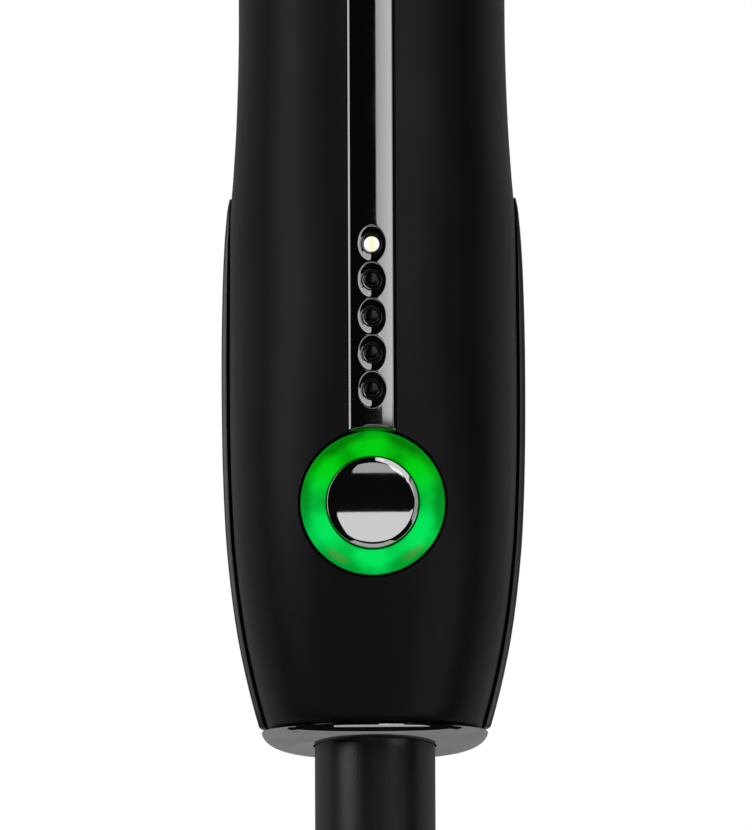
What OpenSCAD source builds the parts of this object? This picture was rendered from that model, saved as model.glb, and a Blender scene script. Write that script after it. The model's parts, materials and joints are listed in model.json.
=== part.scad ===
// Curling wand: oval handle with a light ring, push button and swivel cord sleeve,
// and a heated tapered barrel. It lies on its back, on the bulge of the grip and on the cool tip.
// Each sub-part is drawn along a local z axis that runs from the cord end to the barrel tip,
// with its front towards local -y, and lay() puts it down along +Y with the front towards +Z.

/* [Handle] */
// Width of the shells at the bulge
bulge_w = 35.3; // [34:0.1:36]
// Width of the shells at the waist above the grip
waist_w = 32.9; // [31.6:0.1:33.6]
// Width of the shells at the cord end
foot_w = 26.2; // [26:0.1:27.2]
// Width of the shells at the collar
top_w = 33.8; // [33.2:0.1:34.6]
// Depth of the front shell in front of the axis at the bulge
front_d = 15.2; // [14.9:0.05:15.6]
// Depth of the rear shell behind the axis at the bulge
rear_d = 14.95; // [14.8:0.05:15.2]
// Depth of both shells at the collar
top_d = 14; // [13.6:0.05:14.1]
// Wall of both shells
wall_t = 2.2; // [2:0.1:2.4]
// Length of both shells
handle_len = 132.4; // [130:0.2:140]
// Thickness of the soft grip on the back
grip_t = 1.05; // [0.8:0.05:1.3]

/* [Button and lights] */
// Distance from the cord end to the middle of the button
button_z = 30.1; // [29.4:0.1:31.2]
// Diameter of the push button
button_d = 11.2; // [10.6:0.1:11.4]
// Diameter of the light ring round the button
ring_d = 17.8; // [17.4:0.1:18.2]
// How far the button goes in
button_travel = 0.5; // [0.3:0.05:0.5]
// Width of the gloss strip that carries the lights
strip_w = 5.7; // [5:0.1:6.2]
// Distance from the button to the nearest light
light_first = 13.8; // [13.4:0.1:14.4]
// Distance between neighbouring lights
light_pitch = 4.5; // [4.2:0.1:4.8]

/* [Cord swivel] */
// Outer diameter of the swivel sleeve
sleeve_d = 14.8; // [14:0.1:15]
// Length of the sleeve outside the handle
sleeve_len = 40; // [34:1:48]
// Diameter of the cord hole in the sleeve
cord_d = 7.2; // [6:0.1:7.6]

/* [Barrel] */
// Length of the barrel tube
barrel_len = 165; // [155:1:180]
// Diameter of the barrel at the handle
barrel_base_d = 25; // [24.4:0.1:25]
// Diameter of the barrel at the tip
barrel_tip_d = 18.6; // [18.2:0.1:19.4]
// Diameter of the cool tip
tip_d = 20.4; // [20:0.1:21.6]
// Length of the cool tip
tip_len = 28; // [26:1:32]

/* [Hidden] */
$fn = 64;

// Colours of the visible finishes
matte_black = "#1d1d1e";
soft_black = "#242425";
gloss_black = "#0b0b0c";
chrome = "#d4d6d8";
steel = "#a9abad";
copper = "#b87333";
brass = "#c8a24a";
board_green = "#1d5a36";

// Places along the wand
foot_z = 3.6;
top_z = foot_z + handle_len;
collar_len = 3.2;
guard_z = top_z + collar_len;
guard_len = 11;
barrel_z = guard_z + 2;
barrel_end_z = barrel_z + barrel_len;
insulator_t = 2;
tip_z = barrel_end_z + insulator_t;
tip_end_z = tip_z + tip_len;
mid_z = (tip_end_z - sleeve_len) / 2;

// Shape of the handle: [place along the wand, half width or depth], joined by smooth curves
width_knots = [
    [foot_z, foot_w / 2], [8, 14.3], [14, 15.6], [20, 16.5], [28, bulge_w / 2 - 0.4],
    [40, bulge_w / 2], [58, bulge_w / 2], [68, bulge_w / 2 - 0.15], [71, 17.25], [79, 16.75],
    [90, waist_w / 2], [110, waist_w / 2 + 0.1], [top_z, top_w / 2]
];
front_knots = [
    [foot_z, 11.9], [10, 12.9], [20, 14.2], [30, front_d - 0.2], [42, front_d], [56, 15.1],
    [70, 14.7], [90, 14.3], [112, 14.1], [top_z, top_d]
];
rear_knots = [
    [foot_z, 11.3], [10, 12.4], [20, 13.7], [30, 14.6], [46, rear_d], [60, 14.9], [72, 14.7],
    [90, 14.3], [112, 14.1], [top_z, top_d - 0.1]
];
front_power_knots = [
    [foot_z, 2.4], [20, 2.5], [38, 2.5], [52, 2.25], [64, 2.3], [76, 2.5], [100, 2.5], [top_z, 2.2]
];
rear_power_knots = [[foot_z, 2.4], [70, 2.4], [top_z, 2.2]];
arc_n = 20;
shell_stations = concat(spread(foot_z, 66, 16), [68, 69.5, 71], spread(73, top_z, 13));

// Soft grip: full thickness up to grip_fade_z, then a rounded upper end
grip_z = 3.9;
grip_fade_z = 48;
grip_end_z = 69.5;
grip_round = 22.2;
grip_gap = 0.06;
grip_stations = concat(spread(grip_z, 60, 14), [62.5, 65, 67, 68.4, grip_end_z]);

// Rest on a table: the grip has a low flat round rest_z, and the cool tip touches where its end
// starts to round
rest_z = 55;
rest_flat = 0.21;
tip_round_r = 7;
tip_rest_z = tip_end_z - tip_round_r;
rest_d = curve(rear_knots, rest_z) + grip_lift(rest_z) - rest_flat;
rest_tilt = asin((rest_d - tip_d / 2) / (tip_rest_z - rest_z));
rest_h = rest_d * cos(rest_tilt) - (mid_z - rest_z) * sin(rest_tilt);

// Gloss strip in its groove
strip_t = 1.3;
strip_proud = 0.12;
strip_z = 37;
strip_end_z = top_z - 5;
strip_gap = 0.04;
strip_stations = spread(strip_z, strip_end_z, 26);

// Lights along the strip, counted from the button
light_count = 5;
light_zs = [for (i = [0 : light_count - 1]) button_z + light_first + i * light_pitch];
dish_r = 1.75;
dish_depth = 0.7;
dish_ball_r = (dish_r * dish_r + dish_depth * dish_depth) / (2 * dish_depth);
lens_r = 1;
lens_dome = 0.25;
lens_hole_r = 1.2;

// Button stack, as heights in front of the axis; cuts from the front end at cut_u
cut_u = front_d + 5;
board_u = 5.4;
board_t = 1.6;
board_top_u = board_u + board_t;
ring_face_u = curve(front_knots, button_z) - 0.35;
ring_seat_u = ring_face_u - 2.2;
ring_r = ring_d / 2;
button_r = button_d / 2;
flange_top_u = ring_seat_u - 0.1;
flange_u = flange_top_u - 1.2;
plunger_u = flange_u - 0.3;
switch_top_u = 10.2;
switch_w = 6.2;
stem_r = 1.7;
stem_len = 1.6;
led_h = 0.7;
skirt_in_r = 6.75;
skirt_out_r = 7.6;
skirt_u = 8.4;
ring_round = 0.42;
ring_bore_r = button_r + 0.12;
button_edge = 0.34;
button_crown = 0.07;
button_rise = 0.56;

// Screws, as [x, place along the wand]
board_screw_spots = [[10.2, 23.8], [-10.2, 23.8], [6.2, 100], [-6.2, 100]];
board_screw_r = 0.9;
board_screw_reach = 3;
board_boss_r = 2.2;
handle_screw_spots = [[10.5, 52], [-10.5, 52], [9.2, 12.5], [-9.2, 12.5]];
handle_screw_seats = [-9.4, -9.4, -7.2, -7.2];
handle_screw_r = 1.1;
handle_screw_reach = 6;
front_boss_r = 2;
rear_boss_r = 2.6;
counterbore_r = 2.75;

// Swivel
shaft_r = 4.4;
shaft_bore_r = 2.4;
slip_ring_r = 5.4;
slip_ring_len = 2;
slip_ring_zs = [8.4, 12.4];
housing_z = 5.9;
housing_end_z = 19.4;
housing_w = 13;
bush_z = 16.2;
bush_r = 5.2;
clip_z = 20;
clip_slot = 0.65;
clip_groove = 0.3;
socket_z = -9;
socket_gap = 0.5;
sleeve_end_z = 2.6;
shaft_root_z = socket_z + socket_gap;
flange_z = 3.7;
flange_end_z = 5.2;
flange_r = 8;
washer_t = 0.6;
cap_bore_r = sleeve_d / 2 + 0.3;
cap_lip_z = 3.3;
cap_tongue_z = 5.6;
cap_power = 2.3;
cap_a = 13.9;
cap_b = 12.1;
cap_drop = 2.1;
cap_lean = 2.3;
cap_round_w = 3.8;
cap_round_d = 2;

// Collar and guard sections
collar_round = 0.35;
guard_step = 0.4;
guard_lip = 0.7;
wire_bore_r = 9.5;
spigot_a = 14.2;
spigot_b = 11.3;
spigot_z = top_z - 14;
lug_z = top_z - 7;
lug_r = 2;
lug_reach = 15.6;
guard_power = 2.2;

// Barrel and heater
barrel_r1 = barrel_base_d / 2;
barrel_r2 = barrel_tip_d / 2;
barrel_t = 1;
heat_z = barrel_z + 24;
heat_end_z = barrel_end_z - 10;
heat_wall = 1.5;
heat_gap = 0.06;
upper_flat_u = 2.7;
lower_flat_u = 1.75;
ptc_z = heat_z + 25;
ptc_len = 70;
ptc_w = 12;
ptc_t = 3;
film_t = 0.2;
film_u = ptc_t / 2 + film_t + 0.02;
fuse_z = barrel_z + 8;
fuse_len = 11;
sensor_z = heat_z + 7;

// Cool tip on its insulating plug
plug_r = 7.4;
plug_len = 8;
plug_seat = 4.8;
tip_boss_r = 2.8;
tip_end_t = 4;

// Routes of the leads inside, as [x, height in front of the axis, place along the wand]
lead_r = 0.6;
heater_lead_r = 0.8;
sensor_lead_r = 0.4;
live_route = [
    [3.6, -8.4, 10.3], [3.6, -8.4, 15], [3.8, -8.4, 20], [5, -4.5, 25],
    [5, 2, 28.5], [5, 4.3, 29], [5, 5.3, 29]
];
neutral_route = [
    [-3.6, -8.4, 14.3], [-3.6, -8.4, 16.5], [-3.8, -8.4, 20.5], [-5, -4.5, 25],
    [-5, 2, 28.5], [-5, 4.3, 29], [-5, 5.3, 29]
];
fuse_feed_route = [
    [-3.2, 5, 103], [-3.2, 4, 103], [-3.4, 2, 107], [-4, 0, 116], [-4, 0, 132], [-4, 0, fuse_z]
];
fuse_out_route = [
    [-4, 0, fuse_z + fuse_len], [-4, 0, fuse_z + fuse_len + 10], [-4, 0, ptc_z - 0.4]
];
return_route = [
    [3.2, 5, 103], [3.2, 4, 103], [3.4, 2, 107], [4, 0, 116], [4, 0, 150], [4, 0, ptc_z - 0.4]
];
sensor_route = [
    [0.9, 5.1, 104], [0.9, 4.3, 104], [0.8, 2, 108], [0.55, 0, 118], [0.55, 0, 145], [0.55, 0, sensor_z]
];

// Evenly spaced values from a to b
function spread(a, b, n) = [for (i = [0 : n]) a + (b - a) * i / n];

// Smooth curve through knots of [place, value]
function knot_before(knots, z, i = 0) =
    i >= len(knots) - 2 || z < knots[i + 1][0] ? i : knot_before(knots, z, i + 1);
function knot_slope(knots, i) =
    let (a = max(i - 1, 0), b = min(i + 1, len(knots) - 1))
    (knots[b][1] - knots[a][1]) / (knots[b][0] - knots[a][0]);
function curve(knots, z) =
    let (
        i = knot_before(knots, z),
        h = knots[i + 1][0] - knots[i][0],
        t = (z - knots[i][0]) / h,
        rise = knots[i + 1][1] - knots[i][1],
        m0 = knot_slope(knots, i) * h,
        m1 = knot_slope(knots, i + 1) * h
    )
    knots[i][1] + m0 * t + (3 * rise - 2 * m0 - m1) * t * t + (m0 + m1 - 2 * rise) * t * t * t;

// Point at angle t on an oval whose corners fill out as power grows
function oval(a, b, power, t) = [
    a * sign(cos(t)) * pow(abs(cos(t)), 2 / power),
    b * sign(sin(t)) * pow(abs(sin(t)), 2 / power)
];

// Handle section at z: side is 1 for the front half and -1 for the rear half
function half_depth(z, side) = curve(side > 0 ? front_knots : rear_knots, z);
function section_power(z, side) = curve(side > 0 ? front_power_knots : rear_power_knots, z);
function skin(z, side, lift, k) =
    let (
        t = (side > 0 ? 0 : 180) + 180 * k / arc_n,
        p = oval(curve(width_knots, z) + lift, half_depth(z, side) + lift, section_power(z, side), t)
    )
    [p[0], -p[1], z];
function half_ring(z, side, out, in) = concat(
    [for (k = [0 : arc_n]) skin(z, side, out, k)],
    [for (k = [arc_n : -1 : 0]) skin(z, side, in, k)]
);
function skin_height(x, z, side, lift) =
    let (power = section_power(z, side), share = abs(x) / (curve(width_knots, z) + lift))
    (half_depth(z, side) + lift) * pow(1 - pow(share, power), 1 / power);
function grip_lift(z) =
    z < grip_fade_z ? grip_t : grip_t * sqrt(1 - pow((z - grip_fade_z) / grip_round, 2));

// Radius of the barrel tube at z
function barrel_radius(z) = barrel_r1 + (barrel_r2 - barrel_r1) * (z - barrel_z) / barrel_len;

// Smooth path through points, with a number of steps between neighbours
function path_axis(points, axis) = [for (i = [0 : len(points) - 1]) [i, points[i][axis]]];
function smooth_path(points, steps) = [
    for (t = spread(0, len(points) - 1, (len(points) - 1) * steps))
        [for (axis = [0 : 2]) curve(path_axis(points, axis), t)]
];
function unit(v) = v / norm(v);
function across(t) = unit(cross(abs(t[0]) < 0.9 ? [1, 0, 0] : [0, 1, 0], t));
function tube_ring(path, i, r, sides) =
    let (
        t = unit(path[min(i + 1, len(path) - 1)] - path[max(i - 1, 0)]),
        n = across(t),
        b = cross(t, n)
    )
    [for (k = [0 : sides - 1]) path[i] + r * (cos(360 * k / sides) * n - sin(360 * k / sides) * b)];

// Triangles between successive rings of the same number of points
function wall_faces(rings, size) = [
    for (j = [0 : rings - 2], i = [0 : size - 1])
        let (a = j * size + i, b = j * size + (i + 1) % size)
        each [[b, b + size, a + size], [b, a + size, a]]
];
function fan(first, size, flip) = [
    for (i = [1 : size - 2])
        flip ? [first, first + i + 1, first + i] : [first, first + i, first + i + 1]
];
function band_cap(first, size, flip) = [
    for (k = [0 : size / 2 - 2])
        let (a = first + k, b = a + 1, c = first + size - 2 - k, d = c + 1)
        each (flip ? [[a, c, b], [a, d, c]] : [[a, b, c], [a, c, d]])
];

// Solid through convex rings
module loft(rings) {
    n = len(rings);
    size = len(rings[0]);
    polyhedron(
        points = [for (ring = rings) each ring],
        faces = concat(wall_faces(n, size), fan(0, size, true), fan((n - 1) * size, size, false))
    );
}

// Solid through rings that go out along an outer arc and back along an inner one
module band_loft(rings) {
    n = len(rings);
    size = len(rings[0]);
    polyhedron(
        points = [for (ring = rings) each ring],
        faces = concat(wall_faces(n, size), band_cap(0, size, true), band_cap((n - 1) * size, size, false))
    );
}

module tube(points, r, steps = 3, sides = 8) {
    path = smooth_path([for (p = points) [p[0], -p[1], p[2]]], steps);
    loft([for (i = [0 : len(path) - 1]) tube_ring(path, i, r, sides)]);
}

// Stack of ovals: each level is [z, half width, half depth]
module oval_stack(levels, power, sides = 48) {
    loft([
        for (level = levels)
            [
                for (k = [0 : sides - 1])
                    let (p = oval(level[1], level[2], power, 360 * k / sides))
                    [p[0], -p[1], level[0]]
            ]
    ]);
}

// Puts the wand down on its back along +Y, with the tip a little lower than the handle
module lay()
    translate([0, 0, rest_h]) rotate([-90 - rest_tilt, 0, 0]) translate([0, 0, -mid_z]) children();

// Frame on the front: z points out of the front, y along the wand
module on_front(z, x = 0) translate([x, 0, z]) rotate([90, 0, 0]) children();

module pin(u, u_end, r) translate([0, 0, u]) cylinder(r = r, h = u_end - u);

// Box between heights u and u_end in front of the axis
module block(x, x_end, u, u_end, z, z_end)
    translate([x, -u_end, z]) cube([x_end - x, u_end - u, z_end - z]);

// Outline of [z, height] swept across x by width
module side_profile(width)
    multmatrix([[0, 0, 1, -width / 2], [0, -1, 0, 0], [1, 0, 0, 0], [0, 0, 0, 1]])
        linear_extrude(width) children();

module half_shell(side)
    band_loft([for (z = shell_stations) half_ring(z, side, 0, -wall_t)]);

// Height at which a boss of radius r runs into the inner face of the front shell
function boss_top(spot, r) = skin_height(abs(spot[0]) - r, spot[1], 1, -wall_t) + 0.2;

module front_bosses() {
    on_front(button_z) pin(ring_seat_u - 1.8, ring_seat_u + 0.4, ring_r + 1.6);
    for (spot = board_screw_spots)
        on_front(spot[1], spot[0]) pin(board_top_u, boss_top(spot, board_boss_r), board_boss_r);
    for (spot = handle_screw_spots)
        on_front(spot[1], spot[0]) pin(0, boss_top(spot, front_boss_r), front_boss_r);
}

module strip_groove() {
    depths = [for (z = strip_stations) [z, skin_height(0, z, 1, 0) - strip_t]];
    side_profile(strip_w + 2 * strip_gap)
        polygon(concat(depths, [[strip_end_z, cut_u], [strip_z, cut_u]]));
}

module lug_holes()
    for (side = [-1, 1])
        translate([side * spigot_a, 0, lug_z]) rotate([0, side * 90, 0])
            cylinder(r = lug_r + 0.05, h = lug_reach - spigot_a + 0.1);

module front_shell() color(matte_black) lay() difference() {
    union() {
        half_shell(1);
        front_bosses();
    }
    strip_groove();
    on_front(button_z) pin(ring_seat_u, cut_u, ring_r + 0.08);
    on_front(button_z) pin(5, ring_seat_u + 1, skirt_out_r + 0.1);
    for (z = light_zs)
        on_front(z) pin(skirt_u, cut_u, lens_hole_r);
    for (spot = board_screw_spots)
        on_front(spot[1], spot[0])
            pin(board_top_u - 1, board_top_u + board_screw_reach + 0.6, board_screw_r);
    for (spot = handle_screw_spots)
        on_front(spot[1], spot[0]) pin(-1, handle_screw_reach + 0.6, handle_screw_r);
    lug_holes();
}

module rear_shell() color(matte_black) lay() difference() {
    union() {
        half_shell(-1);
        for (i = [0 : 3])
            on_front(handle_screw_spots[i][1], handle_screw_spots[i][0])
                pin(handle_screw_seats[i] - 0.5, 0, rear_boss_r);
    }
    for (i = [0 : 3])
        on_front(handle_screw_spots[i][1], handle_screw_spots[i][0]) {
            pin(-rear_d - 5, handle_screw_seats[i], counterbore_r);
            pin(handle_screw_seats[i] - 1, 1, handle_screw_r + 0.25);
        }
    lug_holes();
}

// Skin over the back, cut flat where it lies on the table
module rear_grip() color(soft_black) difference() {
    lay() band_loft([for (z = grip_stations) half_ring(z, -1, grip_lift(z), grip_gap)]);
    translate([-bulge_w, -mid_z, -bulge_w]) cube([2 * bulge_w, mid_z, bulge_w]);
}

module handle_screws() color(steel) lay()
    for (i = [0 : 3])
        on_front(handle_screw_spots[i][1], handle_screw_spots[i][0])
            difference() {
                union() {
                    pin(handle_screw_seats[i] - 1.4, handle_screw_seats[i], 2.3);
                    pin(handle_screw_seats[i] - 1, handle_screw_reach, handle_screw_r);
                }
                translate([-1.6, -0.3, handle_screw_seats[i] - 2]) cube([3.2, 0.6, 1.3]);
                translate([-0.3, -1.6, handle_screw_seats[i] - 2]) cube([0.6, 3.2, 1.3]);
            }

// Strip section at z: crowned top from right to left, then the flat bottom
function strip_ring(z) =
    let (floor_u = skin_height(0, z, 1, 0) - strip_t + strip_gap / 2)
    concat(
        [
            for (x = spread(strip_w / 2, -strip_w / 2, 6))
                [x, -skin_height(x, z, 1, 0) - strip_proud * (1 - pow(2 * x / strip_w, 2)), z]
        ],
        [[-strip_w / 2, -floor_u, z], [strip_w / 2, -floor_u, z]]
    );

module inlay_strip() color(gloss_black) lay() difference() {
    loft([for (z = spread(strip_z, strip_end_z - strip_gap, 26)) strip_ring(z)]);
    on_front(button_z) pin(5, cut_u, ring_r + 0.2);
    for (z = light_zs)
        on_front(z) {
            translate([0, 0, skin_height(0, z, 1, 0) + strip_proud + dish_ball_r - dish_depth])
                sphere(r = dish_ball_r);
            pin(5, cut_u, lens_r + 0.05);
        }
}

// Light pipe that carries one indicator light to the bottom of its dish
module indicator_lens(i) {
    z = light_zs[i - 1];
    rim_u = skin_height(0, z, 1, 0) + strip_proud - dish_depth + 0.1;
    color(i == light_count ? "#fff3d6" : "#17181a") lay() on_front(z)
        rotate_extrude()
            polygon(concat(
                [[0, board_top_u + 1], [lens_r, board_top_u + 1]],
                [for (q = spread(0, 90, 5)) [lens_r * cos(q), rim_u + lens_dome * sin(q)]]
            ));
}

module light_ring() color("#16c03f") lay() on_front(button_z)
    rotate_extrude()
        polygon(concat(
            [
                [ring_bore_r, ring_seat_u], [skirt_in_r, ring_seat_u], [skirt_in_r, skirt_u],
                [skirt_out_r, skirt_u], [skirt_out_r, ring_seat_u], [ring_r, ring_seat_u]
            ],
            [
                for (q = spread(0, 90, 4))
                    [ring_r - ring_round * (1 - cos(q)), ring_face_u - ring_round * (1 - sin(q))]
            ],
            [[ring_bore_r + 0.2, ring_face_u], [ring_bore_r, ring_face_u - 0.2]]
        ));

// Chromed cap with a rounded edge and a low crown, hollow behind its face
module power_button() color(chrome) lay() on_front(button_z) {
    edge_u = ring_face_u + button_rise;
    face_r = button_r - button_edge;
    wall_r = button_r - 1;
    rotate_extrude()
        polygon(concat(
            [[wall_r, flange_top_u], [button_r, flange_top_u]],
            [
                for (q = spread(0, 90, 4))
                    [face_r + button_edge * cos(q), edge_u - button_edge * (1 - sin(q))]
            ],
            [
                for (share = spread(0.8, 0, 4))
                    [face_r * share, edge_u + button_crown * (1 - share * share)]
            ],
            [[0, ring_face_u - 0.2], [wall_r, ring_face_u - 0.2]]
        ));
}

module button_plunger() color("#2b2c2e") lay() on_front(button_z) {
    pin(flange_u, flange_top_u, skirt_in_r - 0.25);
    pin(flange_u + 0.5, ring_face_u - 0.3, button_r - 1.05);
    pin(plunger_u, flange_u + 0.5, 2);
}

module button_spring() color(steel) lay() {
    turns = 4;
    coil_r = button_r;
    start_u = board_top_u + 0.3;
    end_u = flange_u - 0.3;
    steps = turns * 10;
    path = [
        for (i = [0 : steps])
            [
                coil_r * cos(360 * i / 10),
                -start_u - (end_u - start_u) * i / steps,
                button_z + coil_r * sin(360 * i / 10)
            ]
    ];
    loft([for (i = [0 : steps]) tube_ring(path, i, 0.25, 6)]);
}

module tact_switch() color("#303236") lay() on_front(button_z) difference() {
    translate([-switch_w / 2, -switch_w / 2, board_top_u])
        cube([switch_w, switch_w, switch_top_u - board_top_u]);
    pin(plunger_u - button_travel - stem_len - 0.2, switch_top_u + 1, stem_r + 0.1);
}

module switch_stem() color("#b9312b") lay() on_front(button_z)
    pin(plunger_u - stem_len, plunger_u, stem_r);

module main_board() color(board_green) lay() difference() {
    on_front(0) translate([0, 0, board_u]) linear_extrude(board_t) polygon([
        [-12.3, 21.5], [12.3, 21.5], [12.3, 42.5], [7.6, 42.5], [7.6, 106],
        [-7.6, 106], [-7.6, 42.5], [-12.3, 42.5]
    ]);
    for (spot = board_screw_spots)
        on_front(spot[1], spot[0]) pin(board_u - 1, board_top_u + 1, board_screw_r + 0.2);
}

module board_screws() color(steel) lay()
    for (spot = board_screw_spots)
        on_front(spot[1], spot[0]) {
            pin(board_u - 1.3, board_u, 1.7);
            pin(board_u - 0.5, board_top_u + board_screw_reach, board_screw_r);
        }

module indicator_leds() color("#efe9c8") lay()
    for (z = light_zs)
        on_front(z) translate([-0.8, -0.8, board_top_u]) cube([1.6, 1.6, led_h]);

module ring_leds() color("#bfe6c4") lay()
    for (i = [0 : 5])
        on_front(button_z) rotate([0, 0, 30 + 60 * i])
            translate([skirt_out_r - 1.2, -0.6, board_top_u]) cube([1.6, 1.2, led_h]);

module microcontroller() color("#202124") lay() {
    block(-6.4, -2.6, board_u - 1.5, board_u - 0.1, 67, 77);
    for (i = [0 : 6])
        block(-7.3, -1.7, board_u - 0.4, board_u, 67.8 + i * 1.3, 68.2 + i * 1.3);
}

module triac() color("#26282b") lay() difference() {
    block(-1, 6.8, board_u - 2.7, board_u, 68, 79);
    on_front(76.5, 2.9) pin(0, board_u + 1, 1.6);
}

module filter_capacitor() color("#c9b03a") lay() block(-7, -0.6, board_u - 10, board_u, 50, 63);

module smoothing_capacitor() color("#2d3f6e") lay() on_front(57, 3.4)
    rotate_extrude()
        polygon([
            [0, board_u - 11], [3.5, board_u - 11], [3.9, board_u - 10.6], [3.9, board_u - 2.2],
            [3.6, board_u - 1.8], [3.9, board_u - 1.4], [3.9, board_u], [0, board_u]
        ]);

module mains_fuse() color("#d9cfb8") lay() {
    translate([0, -board_u + 2.1, 84]) cylinder(r = 1.8, h = 9);
    for (z = [85, 92])
        on_front(z) pin(board_u - 2, board_u, 0.35);
}

// Section of the cap from its lip (q = 0) to its underside (q = 90), which leans back
function cap_ring(q, sides = 48) = [
    for (k = [0 : sides - 1])
        let (
            draw = 1 - cos(q),
            p = oval(cap_a - cap_round_w * draw, cap_b - cap_round_d * draw, cap_power, 360 * k / sides)
        )
        [p[0], -p[1], cap_lip_z - (cap_drop - tan(cap_lean) * p[1]) * sin(q)]
];

// Domed cap with a tongue that goes into the shells and a bore for the sleeve
module end_cap() color(chrome) lay() difference() {
    tongue_a = foot_w / 2 - wall_t - 0.1;
    union() {
        loft([for (q = spread(90, 0, 7)) cap_ring(q)]);
        oval_stack([[cap_lip_z - 1, tongue_a, 9], [cap_tongue_z, tongue_a, 9]], cap_power);
    }
    translate([0, 0, -1]) cylinder(r = cap_bore_r, h = 8);
    translate([0, 0, cap_lip_z + 0.1]) cylinder(r = flange_r + 0.4, h = 8);
}

// Sleeve outline from its free end upwards: a ribbed taper below a plain stretch
module cord_sleeve() {
    ribs = 5;
    plain_z = -15;
    rib_step = (sleeve_len + plain_z - 1) / ribs;
    outline = concat(
        [[cord_d / 2, -sleeve_len], [4.6, -sleeve_len]],
        [
            for (i = [0 : ribs - 1])
                let (
                    z = -sleeve_len + 1 + i * rib_step,
                    r = 5 + 1.6 * i / ribs,
                    groove_r = r - 0.9
                )
                each [
                    [r, z], [r, z + rib_step * 0.62],
                    [groove_r, z + rib_step * 0.66], [groove_r, z + rib_step * 0.96]
                ]
        ],
        [
            [sleeve_d / 2 - 0.5, plain_z], [sleeve_d / 2, plain_z + 0.5], [sleeve_d / 2, sleeve_end_z],
            [shaft_r, sleeve_end_z], [shaft_r, socket_z], [cord_d / 2, socket_z]
        ]
    );
    color(soft_black) lay() rotate_extrude() polygon(outline);
}

module swivel_spindle() color("#d8d6cf") lay()
    rotate_extrude()
        polygon([
            [shaft_bore_r, shaft_root_z], [shaft_r, shaft_root_z], [shaft_r, flange_z], [flange_r, flange_z],
            [flange_r, flange_end_z], [shaft_r, flange_end_z], [shaft_r, clip_z],
            [shaft_r - clip_groove, clip_z], [shaft_r - clip_groove, clip_z + clip_slot],
            [shaft_r, clip_z + clip_slot], [shaft_r, clip_z + 1.2], [shaft_bore_r, clip_z + 1.2]
        ]);

module slip_ring(z) color(brass) lay() translate([0, 0, z]) difference() {
    cylinder(r = slip_ring_r, h = slip_ring_len);
    translate([0, 0, -1]) cylinder(r = shaft_r, h = slip_ring_len + 2);
}

// Tail of a brush, or its slot with play all round: x from 3.2 to 4 on one side
module brush_tail(mid, side, u, u_end, play = 0)
    block(
        min(3.2 * side, 4 * side) - play, max(3.2 * side, 4 * side) + play,
        u, u_end, mid - 0.8 - play, mid + 0.8 + play
    );

// Leaf that wipes a slip ring from behind, with a tail on one side
module brush(z, side) {
    mid = z + slip_ring_len / 2;
    color(copper) lay() {
        block(-4, 4, -slip_ring_r - 0.35, -slip_ring_r - 0.05, mid - 0.8, mid + 0.8);
        brush_tail(mid, side, -9, -slip_ring_r - 0.2);
    }
}

module swivel_housing() color("#3a3b3d") lay() difference() {
    block(-housing_w / 2, housing_w / 2, -7.6, 6.8, housing_z, housing_end_z);
    cylinder(r = slip_ring_r + 0.3, h = bush_z);
    cylinder(r = bush_r, h = housing_end_z + 1);
    for (i = [0, 1]) {
        mid = slip_ring_zs[i] + slip_ring_len / 2;
        block(-4.15, 4.15, -slip_ring_r - 0.9, -slip_ring_r + 0.4, mid - 0.95, mid + 0.95);
        brush_tail(mid, i == 0 ? 1 : -1, -8, -5.5, 0.15);
    }
}

module swivel_bush() color(brass) lay() difference() {
    union() {
        translate([0, 0, bush_z]) cylinder(r = bush_r, h = housing_end_z - bush_z);
        translate([0, 0, housing_end_z]) cylinder(r = 6.2, h = 0.5);
    }
    cylinder(r = shaft_r + 0.05, h = 30);
}

module thrust_washer() color("#e4e2da") lay() translate([0, 0, flange_end_z + 0.05]) difference() {
    cylinder(r = flange_r - 0.4, h = washer_t);
    translate([0, 0, -1]) cylinder(r = shaft_r + 0.15, h = 3);
}

module spindle_clip() color(steel) lay() translate([0, 0, clip_z + 0.03]) difference() {
    cylinder(r = 6, h = clip_slot - 0.07);
    translate([0, 0, -1]) cylinder(r = shaft_r - clip_groove + 0.02, h = 3);
    translate([-1.6, 0, -1]) cube([3.2, 8, 3]);
}

module supply_leads() color("#7a4a2a") lay() {
    tube(live_route, lead_r);
    tube(neutral_route, lead_r);
}

module collar_ring() color(chrome) lay() difference() {
    a = top_w / 2;
    oval_stack([
        [top_z, a - collar_round, top_d - collar_round], [top_z + collar_round, a, top_d],
        [guard_z - collar_round, a, top_d], [guard_z, a - collar_round, top_d - collar_round]
    ], guard_power);
    oval_stack([
        for (z = [top_z - 1, guard_z + 1]) [z, spigot_a + 0.05, spigot_b + 0.05]
    ], guard_power);
}

// Hood that eases from the oval of the handle to the round barrel, on a spigot with two lugs
module barrel_guard() color("#161617") lay() difference() {
    base_a = top_w / 2 - guard_step;
    base_b = top_d - guard_step;
    end_r = barrel_r1 + guard_lip;
    lug_root = spigot_a - 2.2;
    union() {
        oval_stack([[spigot_z, spigot_a, spigot_b], [guard_z + 1, spigot_a, spigot_b]], guard_power);
        oval_stack([
            for (q = spread(0, 90, 7))
                let (share = sin(q) * 0.75 + 0.25 * q / 90, ease = 1 - cos(q))
                [
                    guard_z + guard_len * share,
                    base_a + (end_r - base_a) * ease,
                    base_b + (end_r - base_b) * ease
                ]
        ], guard_power);
        for (side = [-1, 1])
            translate([side * lug_root, 0, lug_z]) rotate([0, side * 90, 0])
                cylinder(r = lug_r, h = lug_reach - lug_root);
    }
    translate([0, 0, spigot_z - 1]) cylinder(r = wire_bore_r, h = 60);
    translate([0, 0, barrel_z]) cylinder(r = barrel_r1 + 0.02, h = guard_len + 1);
}

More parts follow.
